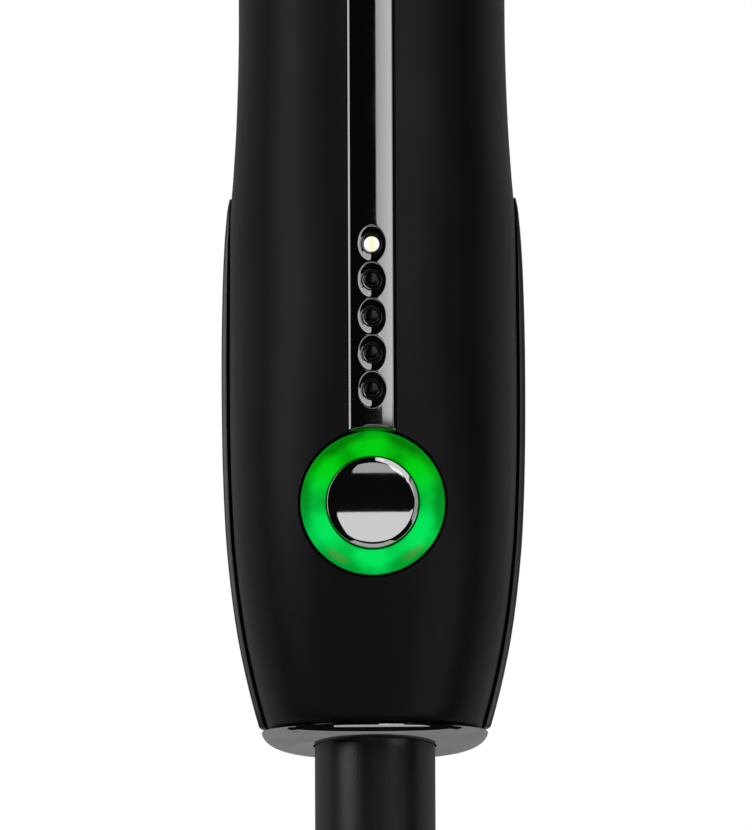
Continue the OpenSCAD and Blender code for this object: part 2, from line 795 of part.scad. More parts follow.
module barrel() color("#3b3a3d") lay()
    rotate_extrude()
        polygon([
            [barrel_r1 - barrel_t, barrel_z], [barrel_r1, barrel_z],
            [barrel_radius(barrel_end_z - 0.4), barrel_end_z - 0.4], [barrel_r2 - 0.4, barrel_end_z],
            [barrel_r2 - barrel_t, barrel_end_z]
        ]);

// Half of a tapered core with a flat inner face at flat_u and an open channel behind it
module heat_spreader(side, flat_u) {
    r1 = barrel_radius(heat_z) - barrel_t - heat_gap;
    r2 = barrel_radius(heat_end_z) - barrel_t - heat_gap;
    len_z = heat_end_z - heat_z;
    color("#c3c6c9") lay() translate([0, 0, heat_z]) difference() {
        intersection() {
            cylinder(r1 = r1, r2 = r2, h = len_z);
            translate([-20, side > 0 ? -20 : flat_u, 0]) cube([40, 20 - flat_u, len_z]);
        }
        intersection() {
            translate([0, 0, -1]) cylinder(r1 = r1 - heat_wall, r2 = r2 - heat_wall, h = len_z + 2);
            translate([-20, side > 0 ? -20 : flat_u + heat_wall, -2])
                cube([40, 20 - flat_u - heat_wall, len_z + 4]);
        }
    }
}

module upper_heat_spreader() heat_spreader(1, upper_flat_u);

module lower_heat_spreader() heat_spreader(-1, lower_flat_u);

module ptc_heater() color("#8d8b84") lay()
    block(-ptc_w / 2, ptc_w / 2, -ptc_t / 2, ptc_t / 2, ptc_z, ptc_z + ptc_len);

// Film sleeve wrapped round the heater plate
module heater_insulation() color("#c9a227") lay() difference() {
    a = ptc_w / 2 + 0.02;
    b = ptc_t / 2 + 0.02;
    block(-a - film_t, a + film_t, -b - film_t, b + film_t, ptc_z + 1, ptc_z + ptc_len - 1);
    block(-a, a, -b, b, ptc_z, ptc_z + ptc_len);
}

// Wavy leaf that presses the heater plate against the lower spreader
module heater_spring() color(steel) lay() {
    mid_u = (upper_flat_u + film_u) / 2;
    zs = spread(ptc_z + 3, ptc_z + ptc_len - 3, 48);
    waves = [for (z = zs) [z, mid_u + 0.3 * cos(360 * (z - zs[0]) / 16)]];
    side_profile(9)
        polygon(concat(
            [for (p = waves) [p[0], p[1] + 0.15]],
            [for (i = [len(waves) - 1 : -1 : 0]) [waves[i][0], waves[i][1] - 0.15]]
        ));
}

module thermistor() color("#6e4b2f") lay() translate([0, 0, sensor_z])
    rotate_extrude()
        polygon([[0, 0], [1, 0], [1.1, 0.6], [1.1, 2.6], [0.8, 3.3], [0, 3.6]]);

module thermal_fuse() color("#dcd7cc") lay() translate([-4, 0, fuse_z])
    rotate_extrude()
        polygon([
            [0, 0], [1.1, 0], [1.9, 1], [1.9, fuse_len - 1.6], [1.2, fuse_len - 0.6], [1.2, fuse_len],
            [0, fuse_len]
        ]);

module heater_leads() color("#e8e6e0") lay() {
    tube(fuse_feed_route, heater_lead_r);
    tube(fuse_out_route, heater_lead_r);
    tube(return_route, heater_lead_r);
}

module sensor_leads() color("#e2dcc8") lay()
    for (side = [-1, 1])
        tube([for (p = sensor_route) [side * p[0], p[1], p[2]]], sensor_lead_r, 3, 6);

// Heat-proof plug: a spigot in the barrel, a flange and a spigot in the cool tip
module tip_insulator() color("#8c857a") lay() translate([0, 0, barrel_end_z]) {
    spigot_r = barrel_r2 - barrel_t - 0.04;
    hollow_r = spigot_r - 1.6;
    rim_r = barrel_r2 + 0.2;
    rotate_extrude()
        polygon([
            [hollow_r, -plug_len], [spigot_r, -plug_len], [spigot_r, 0], [rim_r, 0],
            [rim_r, insulator_t], [plug_r, insulator_t], [plug_r, plug_len],
            [handle_screw_r + 0.15, plug_len], [handle_screw_r + 0.15, plug_seat], [hollow_r, plug_seat]
        ]);
}

// Rounded cap over the plug, with a boss inside for the screw
module cool_tip() color("#161617") lay() {
    r = tip_d / 2;
    bore_r = plug_r + 0.05;
    boss_z = barrel_end_z + plug_len + 0.05;
    hollow_end_z = tip_end_z - tip_end_t;
    rotate_extrude()
        polygon(concat(
            [[bore_r, tip_z], [r - 0.5, tip_z], [r, tip_z + 0.5]],
            [
                for (q = spread(0, 90, 10))
                    [r - tip_round_r * (1 - cos(q)), tip_rest_z + tip_round_r * sin(q)]
            ],
            [
                [0, tip_end_z], [0, boss_z + 11], [handle_screw_r, boss_z + 11], [handle_screw_r, boss_z],
                [tip_boss_r, boss_z], [tip_boss_r, hollow_end_z], [bore_r - 1, hollow_end_z],
                [bore_r, hollow_end_z - 2]
            ]
        ));
}

module tip_screw() color(steel) lay() translate([0, 0, barrel_end_z]) {
    translate([0, 0, plug_seat - 1.5]) cylinder(r = 2.2, h = 1.5);
    translate([0, 0, plug_seat - 0.8]) cylinder(r = handle_screw_r, h = 12);
}

front_shell();
rear_shell();
rear_grip();
handle_screws();
inlay_strip();
for (i = [1 : light_count])
    indicator_lens(i);
light_ring();
power_button();
button_plunger();
button_spring();
tact_switch();
switch_stem();
main_board();
board_screws();
indicator_leds();
ring_leds();
microcontroller();
triac();
filter_capacitor();
smoothing_capacitor();
mains_fuse();
end_cap();
cord_sleeve();
swivel_spindle();
slip_ring(slip_ring_zs[0]);  // slip_ring_live
slip_ring(slip_ring_zs[1]);  // slip_ring_neutral
brush(slip_ring_zs[0], 1);  // brush_live
brush(slip_ring_zs[1], -1);  // brush_neutral
swivel_housing();
swivel_bush();
thrust_washer();
spindle_clip();
supply_leads();
collar_ring();
barrel_guard();
barrel();
upper_heat_spreader();
lower_heat_spreader();
ptc_heater();
heater_insulation();
heater_spring();
thermistor();
thermal_fuse();
heater_leads();
sensor_leads();
tip_insulator();
cool_tip();
tip_screw();
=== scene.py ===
import json
import math

import bpy
from mathutils import Matrix, Vector


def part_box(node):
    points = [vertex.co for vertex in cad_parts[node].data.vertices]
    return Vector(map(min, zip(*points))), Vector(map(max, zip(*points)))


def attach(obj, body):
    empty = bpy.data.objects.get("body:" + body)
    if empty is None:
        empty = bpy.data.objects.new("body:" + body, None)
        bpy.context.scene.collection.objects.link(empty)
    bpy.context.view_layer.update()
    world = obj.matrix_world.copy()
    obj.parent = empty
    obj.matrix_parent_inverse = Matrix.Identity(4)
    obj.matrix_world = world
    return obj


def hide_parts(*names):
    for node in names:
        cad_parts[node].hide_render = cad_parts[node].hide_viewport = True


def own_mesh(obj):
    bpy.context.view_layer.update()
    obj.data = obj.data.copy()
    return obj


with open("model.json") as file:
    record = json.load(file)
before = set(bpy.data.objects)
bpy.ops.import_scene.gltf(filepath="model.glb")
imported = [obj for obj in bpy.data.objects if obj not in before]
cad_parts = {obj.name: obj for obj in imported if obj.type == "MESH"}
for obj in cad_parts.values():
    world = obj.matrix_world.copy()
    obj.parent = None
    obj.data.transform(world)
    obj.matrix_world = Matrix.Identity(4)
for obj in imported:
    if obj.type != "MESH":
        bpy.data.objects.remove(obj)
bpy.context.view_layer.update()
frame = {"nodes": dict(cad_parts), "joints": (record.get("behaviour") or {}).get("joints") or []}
nodes = frame["nodes"]
mm = 0.001
closeBy = 1e-6    # points nearer than this are one point

# Pieces are modelled upright on the wand's own axis: x across, front towards -y, z from end cap to tip.
wand = {"hingeAboveCap": 10.0}
swivelJoint = [joint for joint in frame["joints"] if joint["name"] == "cord_turn"][0]
wandAxis = Vector(swivelJoint["axis"])
capPoint = Vector(swivelJoint["pos_m"]) - wandAxis * wand["hingeAboveCap"] * mm
tilt = math.atan2(-wandAxis.z, wandAxis.y)
lay = Matrix.Translation(capPoint) @ Matrix.Rotation(-math.pi / 2 - tilt, 4, "X")
layFront = lay @ Matrix.Rotation(math.pi / 2, 4, "X")    # x across, y towards the tip, z out of the front
turnFront = layFront.to_3x3()


def frontPoint(across, along, height):
    return layFront @ Vector((across, along, height))


# Half sizes of the handle as (place along the wand, size), joined by smooth curves.
handle = {
    "foot": 3.6, "top": 136.0, "wall": 2.2, "rimBevel": 0.22, "firstRing": 1.4, "ringGap": 2.0,
    "segments": 24,
    "halfWidth": [(3.6, 13.1), (8, 14.3), (14, 15.6), (20, 16.5), (28, 17.25), (40, 17.65), (58, 17.65),
                  (68, 17.5), (71, 17.25), (79, 16.75), (90, 16.45), (110, 16.55), (136, 16.9)],
    "front": [(3.6, 11.9), (10, 12.9), (20, 14.2), (30, 15.0), (42, 15.2), (56, 15.1), (70, 14.7),
              (90, 14.3), (112, 14.1), (136, 14)],
    "rear": [(3.6, 11.3), (10, 12.4), (20, 13.7), (30, 14.6), (46, 14.95), (60, 14.9), (72, 14.7),
             (90, 14.3), (112, 14.1), (136, 13.9)],
    "frontPower": [(3.6, 2.4), (20, 2.5), (38, 2.5), (52, 2.25), (64, 2.3), (76, 2.5), (100, 2.5),
                   (136, 2.2)],
    "rearPower": [(3.6, 2.4), (70, 2.4), (136, 2.2)],
    "footRound": [(0, 0.5), (0.12, 0.27), (0.35, 0.09), (0.7, 0)],    # height, how far it draws in
}


def curve(knots, z):
    if z <= knots[0][0]:
        return knots[0][1]
    if z >= knots[-1][0]:
        return knots[-1][1]
    i = max(k for k in range(len(knots) - 1) if knots[k][0] <= z)
    slopes = []
    for k in (i, i + 1):
        before, after = knots[max(k - 1, 0)], knots[min(k + 1, len(knots) - 1)]
        slopes.append((after[1] - before[1]) / (after[0] - before[0]))
    span = knots[i + 1][0] - knots[i][0]
    t = (z - knots[i][0]) / span
    return ((1 + 2 * t) * (1 - t) ** 2 * knots[i][1] + t * t * (3 - 2 * t) * knots[i + 1][1]
            + span * t * (1 - t) * ((1 - t) * slopes[0] - t * slopes[1]))


def clearSelection():
    if bpy.context.mode != "OBJECT":
        bpy.ops.object.mode_set(mode="OBJECT")
    bpy.ops.object.select_all(action="DESELECT")


def called(name):
    piece = bpy.context.object
    piece.name = name
    piece.data.name = name
    return piece


def emptyPiece(name):
    clearSelection()
    bpy.ops.mesh.primitive_plane_add(size=mm)
    piece = called(name)
    bpy.ops.object.mode_set(mode="EDIT")
    bpy.ops.mesh.select_mode(type="VERT")
    bpy.ops.mesh.delete(type="VERT")
    return piece


def addOval(z, a, b, power, segments, lean=0):
    # a square whose corners are rounded into one superellipse
    at = (0, 0, z * mm)
    bpy.ops.mesh.select_all(action="DESELECT")
    bpy.ops.mesh.primitive_plane_add(size=2 * mm, location=at)
    bpy.ops.transform.resize(value=(a, b, 1), center_override=at)
    bpy.ops.mesh.bevel(offset_type="PERCENT", offset_pct=50, segments=segments, profile=2 ** (-2 / power),
                       affect="VERTICES", clamp_overlap=False)
    if lean:
        bpy.ops.transform.rotate(value=math.radians(lean), orient_axis="X", center_override=at)


def mergeAll():
    bpy.ops.mesh.select_all(action="SELECT")
    bpy.ops.mesh.remove_doubles(threshold=closeBy)


def bridgeOvals():
    mergeAll()
    bpy.ops.mesh.delete(type="ONLY_FACE")
    bpy.ops.mesh.select_all(action="SELECT")
    bpy.ops.mesh.bridge_edge_loops(type="SINGLE")


def bridgePairs(rings, segments):
    # one band at a time, for outlines that turn back on themselves
    for pair in zip(rings, rings[1:]):
        bpy.ops.mesh.select_all(action="SELECT")
        bpy.ops.mesh.hide()
        for z, a, b, power, lean in pair:
            addOval(z, a, b, power, segments, lean)
        bridgeOvals()
    bpy.ops.mesh.reveal()
    mergeAll()


def cutAway(point, direction):
    bpy.ops.mesh.select_all(action="SELECT")
    bpy.ops.mesh.bisect(plane_co=point, plane_no=direction, clear_outer=True, threshold=closeBy)
    bpy.ops.mesh.select_all(action="SELECT")
    bpy.ops.mesh.hide()


def selectRims():
    bpy.ops.mesh.select_mode(type="EDGE")
    bpy.ops.mesh.select_all(action="DESELECT")
    bpy.ops.mesh.select_non_manifold(extend=False, use_wire=False, use_multi_face=False,
                                     use_non_contiguous=False, use_verts=False)


corner = {"segments": 3, "sharpFrom": 50}    # edges that turn more than these degrees are rounded


def closeWall(bevel):
    # joins the rims of an outer and an inner skin, and rounds the corners
    bpy.ops.mesh.reveal()
    selectRims()
    bpy.ops.mesh.bridge_edge_loops(type="SINGLE")
    bpy.ops.mesh.select_all(action="SELECT")
    bpy.ops.mesh.normals_make_consistent(inside=False)
    bpy.ops.mesh.select_mode(type="EDGE")
    bpy.ops.mesh.select_all(action="DESELECT")
    bpy.ops.mesh.edges_select_sharp(sharpness=math.radians(corner["sharpFrom"]))
    bpy.ops.mesh.bevel(offset=bevel * mm, segments=corner["segments"], profile=0.5, affect="EDGES")


def turned(name, outline, steps=128, middle=(0, 0)):
    # one ring for each radius and height of the outline
    clearSelection()
    centre = (middle[0] * mm, middle[1] * mm, 0)
    (r, z), rest = outline[0], outline[1:]
    bpy.ops.mesh.primitive_circle_add(vertices=steps, radius=r * mm, location=(centre[0], centre[1], z * mm))
    piece = called(name)
    bpy.ops.object.mode_set(mode="EDIT")
    bpy.ops.mesh.select_mode(type="EDGE")
    for nextR, nextZ in rest:
        bpy.ops.mesh.extrude_edges_move(TRANSFORM_OT_translate={"value": (0, 0, (nextZ - z) * mm)})
        if nextR == 0:
            bpy.ops.mesh.merge(type="CENTER")
            break
        bpy.ops.transform.resize(value=(nextR / r, nextR / r, 1), center_override=centre)
        r, z = nextR, nextZ
    mergeAll()
    return piece


def cutWith(piece, cutter):
    clearSelection()
    piece.select_set(True)
    bpy.context.view_layer.objects.active = piece
    cut = piece.modifiers.new("cut", "BOOLEAN")
    cut.operation = "DIFFERENCE"
    cut.solver = "EXACT"
    cut.object = cutter
    bpy.ops.object.modifier_apply(modifier=cut.name)
    bpy.data.objects.remove(cutter)


smoothBelow = 35    # degrees between faces that are shaded as one


def finishPiece(piece, body, finish, standsFor, place=lay):
    bpy.ops.object.mode_set(mode="EDIT")
    bpy.ops.mesh.select_all(action="SELECT")
    bpy.ops.mesh.normals_make_consistent(inside=False)
    clearSelection()
    piece.select_set(True)
    bpy.context.view_layer.objects.active = piece
    piece.matrix_world = place @ piece.matrix_world
    bpy.ops.object.transform_apply(location=True, rotation=True, scale=True)
    bpy.ops.object.shade_smooth_by_angle(angle=math.radians(smoothBelow))
    piece.data.materials.clear()
    piece.data.materials.append(finish)
    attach(piece, body)
    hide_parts(*standsFor)
    print("piece", piece.name, len(piece.data.polygons), "faces")


class Socket:
    def __init__(self, tree, link):
        self.tree = tree
        self.link = link

    def node(self, kind, settings=None, inputs=None, output=0):
        made = self.tree.nodes.new(kind)
        for key, value in (settings or {}).items():
            setattr(made, key, value)
        for key, value in (inputs or {}).items():
            if isinstance(value, Socket):
                self.tree.links.new(value.link, made.inputs[key])
            else:
                made.inputs[key].default_value = value
        return Socket(self.tree, made.outputs[output])

    def maths(self, operation, *values):
        return self.node("ShaderNodeMath", {"operation": operation}, dict(enumerate(values)))

    def __add__(self, other):
        return self.maths("ADD", self, other)

    __radd__ = __add__

    def __sub__(self, other):
        return self.maths("SUBTRACT", self, other)

    def __rsub__(self, other):
        return self.maths("SUBTRACT", other, self)

    def __mul__(self, other):
        return self.maths("MULTIPLY", self, other)

    __rmul__ = __mul__

    def __truediv__(self, other):
        return self.maths("DIVIDE", self, other)

    def __rtruediv__(self, other):
        return self.maths("DIVIDE", other, self)

    def __pow__(self, other):
        return self.maths("POWER", self, other)

    def fade(self, low, high, start=0.0, end=1.0):
        return self.node("ShaderNodeMapRange", {"interpolation_type": "SMOOTHSTEP"},
                         {0: self, 1: low, 2: high, 3: start, 4: end})

    def blend(self, dark, light):
        # this value mixes two colours
        colour = [value if isinstance(value, Socket) else (*value, 1) for value in (dark, light)]
        return self.node("ShaderNodeMix", {"data_type": "RGBA"}, {0: self, 6: colour[0], 7: colour[1]}, 2)

    def noise(self, scale, detail=2.0, roughness=0.5):
        return self.node("ShaderNodeTexNoise", {}, {"Vector": self, "Scale": scale, "Detail": detail,
                                                    "Roughness": roughness})

    def shifted(self, point):
        return self.node("ShaderNodeVectorMath", {"operation": "SUBTRACT"}, {0: self, 1: tuple(point)})

    def part(self, axis):
        return self.node("ShaderNodeSeparateXYZ", {}, {0: self}, "XYZ".index(axis))

    def bump(self, distance):
        return self.node("ShaderNodeBump", {}, {"Strength": 1.0, "Distance": distance * mm, "Height": self})


def newFinish(name, **values):
    finish = bpy.data.materials.new(name)
    finish.use_nodes = True
    tree = finish.node_tree
    shader = tree.nodes["Principled BSDF"]
    for key, value in values.items():
        shader.inputs[key.replace("_", " ")].default_value = value
    place = Socket(tree, tree.nodes.new("ShaderNodeTexCoord").outputs["Object"])

    def feed(**sockets):
        for key, socket in sockets.items():
            tree.links.new(socket.link, shader.inputs[key.replace("_", " ")])

    return finish, place, feed


mouldLook = {"driftScale": 60, "driftDetail": 3, "driftShare": 0.6, "sheenFrom": 0.25, "sheenTo": 0.75}


def moulded(name, dark, light, rough, grainSize, grainHeight, **values):
    # moulded plastic or rubber: a fine grain, and a slow drift of tone and sheen
    finish, place, feed = newFinish(name, **values)
    drift = place.noise(mouldLook["driftScale"], mouldLook["driftDetail"])
    grain = place.noise(1 / (grainSize * mm))
    tone = drift * mouldLook["driftShare"] + grain * (1 - mouldLook["driftShare"])
    feed(Base_Color=tone.blend(dark, light), Normal=grain.bump(grainHeight),
         Roughness=drift.fade(mouldLook["sheenFrom"], mouldLook["sheenTo"], *rough))
    return finish


shellMatte = moulded("shellMatte", (0.0045, 0.0045, 0.0046), (0.0065, 0.0065, 0.0066), (0.42, 0.47), 0.16,
                     0.006, Specular_IOR_Level=0.45)
softGrip = moulded("softGrip", (0.03, 0.03, 0.03), (0.042, 0.042, 0.042), (0.34, 0.4), 0.18, 0.006, IOR=2.2)
sleeveRubber = moulded("sleeveRubber", (0.002, 0.002, 0.0021), (0.006, 0.006, 0.0062), (0.34, 0.42), 0.3,
                       0.02, Specular_IOR_Level=1.0)
heatproofBlack = moulded("heatproofBlack", (0.006, 0.006, 0.006), (0.01, 0.01, 0.01), (0.4, 0.46), 0.2, 0.006)
heatproofGrey = moulded("heatproofGrey", (0.06, 0.06, 0.058), (0.09, 0.09, 0.087), (0.5, 0.58), 0.2, 0.006)
barrelCoat = moulded("barrelCoat", (0.012, 0.012, 0.013), (0.018, 0.018, 0.02), (0.2, 0.26), 0.25, 0.001,
                     Coat_Weight=0.4, Coat_Roughness=0.12)

polishLook = {"hazeScale": 140, "hazeDetail": 4, "hazeRough": 0.6, "sheenFrom": 0.3, "sheenTo": 0.7}


def polished(name, dark, light, rough, **values):
    # polished faces: faint wiping marks in the sheen
    finish, place, feed = newFinish(name, **values)
    haze = place.noise(polishLook["hazeScale"], polishLook["hazeDetail"], polishLook["hazeRough"])
    feed(Base_Color=haze.blend(dark, light),
         Roughness=haze.fade(polishLook["sheenFrom"], polishLook["sheenTo"], *rough))
    return finish


glossStrip = polished("glossStrip", (0.0015, 0.0015, 0.0016), (0.0025, 0.0025, 0.0026), (0.03, 0.05), IOR=4.4)
smokedLens = polished("smokedLens", (0.001, 0.001, 0.0012), (0.002, 0.002, 0.0022), (0.18, 0.22), IOR=1.5)
chrome = polished("chrome", (0.66, 0.66, 0.67), (0.72, 0.72, 0.73), (0.012, 0.024), Metallic=1.0)
print("finishes done")


def ovalHalf(name, depthKnots, powerKnots, keepFront):
    piece = emptyPiece(name)
    rings = [(handle["foot"] + rise, draw) for rise, draw in handle["footRound"]]
    first = handle["foot"] + handle["firstRing"]
    count = int((handle["top"] - first) / handle["ringGap"])
    rings += [(first + (handle["top"] - first) * i / count, 0) for i in range(count + 1)]
    for inset in (0, handle["wall"]):
        for z, draw in rings:
            addOval(z, curve(handle["halfWidth"], z) - draw - inset, curve(depthKnots, z) - draw - inset,
                    curve(powerKnots, z), handle["segments"])
        bridgeOvals()
        cutAway((0, 0, 0), (0, 1 if keepFront else -1, 0))
    closeWall(handle["rimBevel"])
    return piece


# Front shell, with a round opening for the light ring and a groove for the strip.
opening = {"ringZ": 30.1, "ringRadius": 9.15, "ringFloor": 6.0, "ringCut": 20.0, "sides": 160,
           "grooveHalf": 3.0, "grooveFloor": 13.25, "grooveCut": 6.0, "grooveEnd": 131.05}
frontShell = ovalHalf("frontShell", handle["front"], handle["frontPower"], True)
clearSelection()
ringCutMiddle = opening["ringFloor"] + opening["ringCut"] / 2
bpy.ops.mesh.primitive_cylinder_add(vertices=opening["sides"], radius=opening["ringRadius"] * mm,
                                    depth=opening["ringCut"] * mm, rotation=(math.pi / 2, 0, 0),
                                    location=(0, -ringCutMiddle * mm, opening["ringZ"] * mm))
cutWith(frontShell, bpy.context.object)
clearSelection()
grooveLength = opening["grooveEnd"] - opening["ringZ"]
grooveCutMiddle = opening["grooveFloor"] + opening["grooveCut"] / 2
grooveMiddle = opening["ringZ"] + grooveLength / 2
bpy.ops.mesh.primitive_cube_add(size=mm, location=(0, -grooveCutMiddle * mm, grooveMiddle * mm),
                                scale=(2 * opening["grooveHalf"], opening["grooveCut"], grooveLength))
cutWith(frontShell, bpy.context.object)
finishPiece(frontShell, "handle", shellMatte, ["front_shell"])

rearShell = ovalHalf("rearShell", handle["rear"], handle["rearPower"], False)
finishPiece(rearShell, "handle", shellMatte, ["rear_shell"])

# Soft grip: a skin on the rear shell, flat where the wand rests.
grip = {"start": 3.9, "end": 69.5, "lift": 1.05, "fadeFrom": 48.0, "fadeLength": 22.2, "gapShare": 0.3,
        "bevel": 0.2, "outerDrop": 0.32, "rings": 46, "restGap": 0.006}


def gripLift(z):
    past = max(0.0, (z - grip["fadeFrom"]) / grip["fadeLength"])
    return grip["lift"] * math.sqrt(1 - past * past)


softSkin = emptyPiece("softSkin")
for share, drop in ((1.0, grip["outerDrop"]), (grip["gapShare"], 0)):
    for i in range(grip["rings"] + 1):
        z = grip["start"] + (grip["end"] - grip["start"]) * math.sin(math.pi / 2 * i / grip["rings"])
        rise = gripLift(z) * share
        addOval(z, curve(handle["halfWidth"], z) + rise, curve(handle["rear"], z) + rise,
                curve(handle["rearPower"], z), handle["segments"])
    bridgeOvals()
    cutAway((0, drop * mm, 0), (0, -1, 0))
closeWall(grip["bevel"])
bpy.ops.object.mode_set(mode="OBJECT")
softSkin.matrix_world = lay
bpy.ops.object.transform_apply(location=True, rotation=True, scale=True)
bpy.ops.object.mode_set(mode="EDIT")
bpy.ops.mesh.select_all(action="SELECT")
bpy.ops.mesh.bisect(plane_co=(0, 0, grip["restGap"] * mm), plane_no=(0, 0, -1), clear_outer=True,
                    use_fill=True, threshold=closeBy / 10)
finishPiece(softSkin, "handle", softGrip, ["rear_grip"], Matrix.Identity(4))

# Gloss strip with its five dishes, modelled face up: x across, y towards the tip. Its lower end has a lip,
# given as (distance from the end, height), and is hollowed to go round the ring.
strip = {"half": 2.57, "crown": 0.102, "bevelOut": 0.28, "bevelDown": 0.15, "thick": 1.3, "proud": 0.12,
         "steps": 56, "start": 38.72, "end": 131.0, "fineFrom": 41.4, "fineTo": 64.4, "fineStep": 0.1,
         "coarseStep": 2.0, "endArc": 0.46, "arcReach": 2.95,
         "lip": [(0, -0.4), (0.03, -0.22), (0.1, -0.08), (0.22, -0.015), (0.34, 0), (0.46, 0), (1.3, 0)]}
dish = {"centres": [43.9, 48.4, 52.9, 57.4, 61.9], "reach": 1.55, "depth": 0.34, "squeeze": 0.75,
        "softLow": (-2.3, 41.2, 14.2), "softHigh": (2.3, 64.6, 16.0), "softRounds": 10}

stripRadius = (strip["half"] ** 2 + strip["crown"] ** 2) / (2 * strip["crown"])


def stripTop(z):
    return curve(handle["front"], z) + strip["proud"]


inlayStrip = emptyPiece("inlayStrip")
bpy.ops.mesh.primitive_plane_add(size=mm)
bpy.ops.mesh.merge(type="CENTER")
bpy.ops.transform.translate(value=(-strip["half"] * mm, 0, 0))
bpy.ops.mesh.spin(steps=strip["steps"], angle=2 * math.asin(strip["half"] / stripRadius),
                  center=(0, 0, (strip["crown"] - stripRadius) * mm), axis=(0, -1, 0))
halfBottom = strip["half"] + strip["bevelOut"]
for step in ((strip["bevelOut"], 0, -strip["bevelDown"]), (0, 0, -strip["thick"]), (-halfBottom, 0, 0),
             (-halfBottom, 0, 0), (0, 0, strip["thick"]), (strip["bevelOut"], 0, strip["bevelDown"])):
    bpy.ops.mesh.extrude_vertices_move(TRANSFORM_OT_translate={"value": tuple(value * mm for value in step)})
mergeAll()

rows = [(strip["start"] + rise, drop) for rise, drop in strip["lip"]]
fineCount = round((strip["fineTo"] - strip["fineFrom"]) / strip["fineStep"])
rows += [(strip["fineFrom"] + i * strip["fineStep"], 0) for i in range(fineCount + 1)]
coarseLength = strip["end"] - strip["fineTo"]
coarseCount = round(coarseLength / strip["coarseStep"])
rows += [(strip["fineTo"] + coarseLength * i / coarseCount, 0) for i in range(1, coarseCount + 1)]
heights = [stripTop(z) - strip["crown"] + drop for z, drop in rows]
bpy.ops.transform.translate(value=(0, rows[0][0] * mm, heights[0] * mm))
bpy.ops.mesh.select_mode(type="EDGE")
for i in range(1, len(rows)):
    bpy.ops.mesh.extrude_edges_move(TRANSFORM_OT_translate={
        "value": (0, (rows[i][0] - rows[i - 1][0]) * mm, (heights[i] - heights[i - 1]) * mm)})
selectRims()
bpy.ops.mesh.edge_face_add()


def pickNone():
    bpy.ops.mesh.select_mode(type="VERT")
    bpy.ops.mesh.select_all(action="DESELECT")
    bpy.ops.object.mode_set(mode="OBJECT")


def pickNearest(piece, *points):
    pickNone()
    for point in points:
        nearest = min(piece.data.vertices, key=lambda vertex: (vertex.co - point).length)
        nearest.select = True
    bpy.ops.object.mode_set(mode="EDIT")


def pickWithin(piece, low, high):
    pickNone()
    for vertex in piece.data.vertices:
        vertex.select = all(a * mm <= value <= b * mm for a, value, b in zip(low, vertex.co, high))
    bpy.ops.object.mode_set(mode="EDIT")


def softMove(offset, reach):
    bpy.ops.transform.translate(value=offset, use_proportional_edit=True, use_proportional_connected=True,
                                proportional_edit_falloff="INVERSE_SQUARE", proportional_size=reach * mm)


pickNearest(inlayStrip, Vector((0, rows[0][0], heights[0] + strip["crown"])) * mm,
            Vector((0, rows[0][0], heights[0] - strip["bevelDown"] - strip["thick"])) * mm)
softMove((0, strip["endArc"] * mm, 0), strip["arcReach"])
# the dishes are pressed in while the strip is shortened, which makes them oval
bpy.ops.mesh.select_all(action="SELECT")
bpy.ops.transform.resize(value=(1, dish["squeeze"], 1), center_override=(0, 0, 0))
for z in dish["centres"]:
    pickNearest(inlayStrip, Vector((0, z * dish["squeeze"], stripTop(z))) * mm)
    softMove((0, 0, -dish["depth"] * mm), dish["reach"])
bpy.ops.mesh.select_all(action="SELECT")
bpy.ops.transform.resize(value=(1, 1 / dish["squeeze"], 1), center_override=(0, 0, 0))
pickWithin(inlayStrip, dish["softLow"], dish["softHigh"])
bpy.ops.mesh.vertices_smooth(factor=0.5, repeat=dish["softRounds"])
finishPiece(inlayStrip, "handle", glossStrip, ["inlay_strip"], layFront)

# Indicator lenses: a rim, a gap and a dome, as (radius, height); the one farthest from the button is lit.
lens = {"rise": 0.17, "steps": 64,
        "outline": [(1.3, -0.6), (1.3, 0.03), (1.28, 0.08), (1.23, 0.1), (1.18, 0.08), (1.16, 0.02),
                    (1.1, -0.05), (1.02, -0.05), (1.0, 0.0), (0.94, 0.06), (0.8, 0.12), (0.6, 0.17),
                    (0.4, 0.2), (0.2, 0.215), (0, 0.22)],
        "glowEdge": (0.98, 0.88), "warmFrom": (-0.4, -0.1), "warmTo": (0.55, 0.3),
        "unlit": (0.01, 0.01, 0.01), "lit": (0.03, 0.03, 0.03), "noGlow": (0.0, 0.0, 0.0),
        "white": (1.0, 1.0, 0.98), "warmWhite": (0.98, 0.93, 0.58)}


def makeLitLens():
    finish, place, feed = newFinish("litLens", Emission_Strength=1.0, Roughness=0.15)
    low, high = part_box("indicator_lens_5")
    offset = place.shifted((low + high) / 2)
    x, y = offset.part("X") / mm, offset.part("Y") / mm
    glow = ((x * x + y * y) ** 0.5).fade(*lens["glowEdge"])
    warm = x.fade(*lens["warmFrom"]) * x.fade(*lens["warmTo"])
    feed(Base_Color=glow.blend(lens["unlit"], lens["lit"]),
         Emission_Color=glow.blend(lens["noGlow"], warm.blend(lens["white"], lens["warmWhite"])))
    return finish


litLens = makeLitLens()
for number, z in enumerate(dish["centres"], 1):
    base = stripTop(z) - dish["depth"] + lens["rise"]
    dome = turned(f"lens{number}", [(r, base + rise) for r, rise in lens["outline"]], lens["steps"], (0, z))
    lit = number == len(dish["centres"])
    finishPiece(dome, "handle", litLens if lit else smokedLens,
                [f"indicator_lens_{number}"], layFront)

# Lit ring: inner lip as (distance from the bore, height), a low crown, a rounded outer edge.
ring = {"outer": 8.86, "bore": 5.72, "face": 14.654, "seat": 12.5, "bevel": 0.42, "bevelSteps": 6,
        "crown": 0.12, "crownSteps": 12, "steps": 160, "lip": [(0, -0.3), (0.1, -0.08), (0.3, 0)]}
ringMiddle = (0, opening["ringZ"])

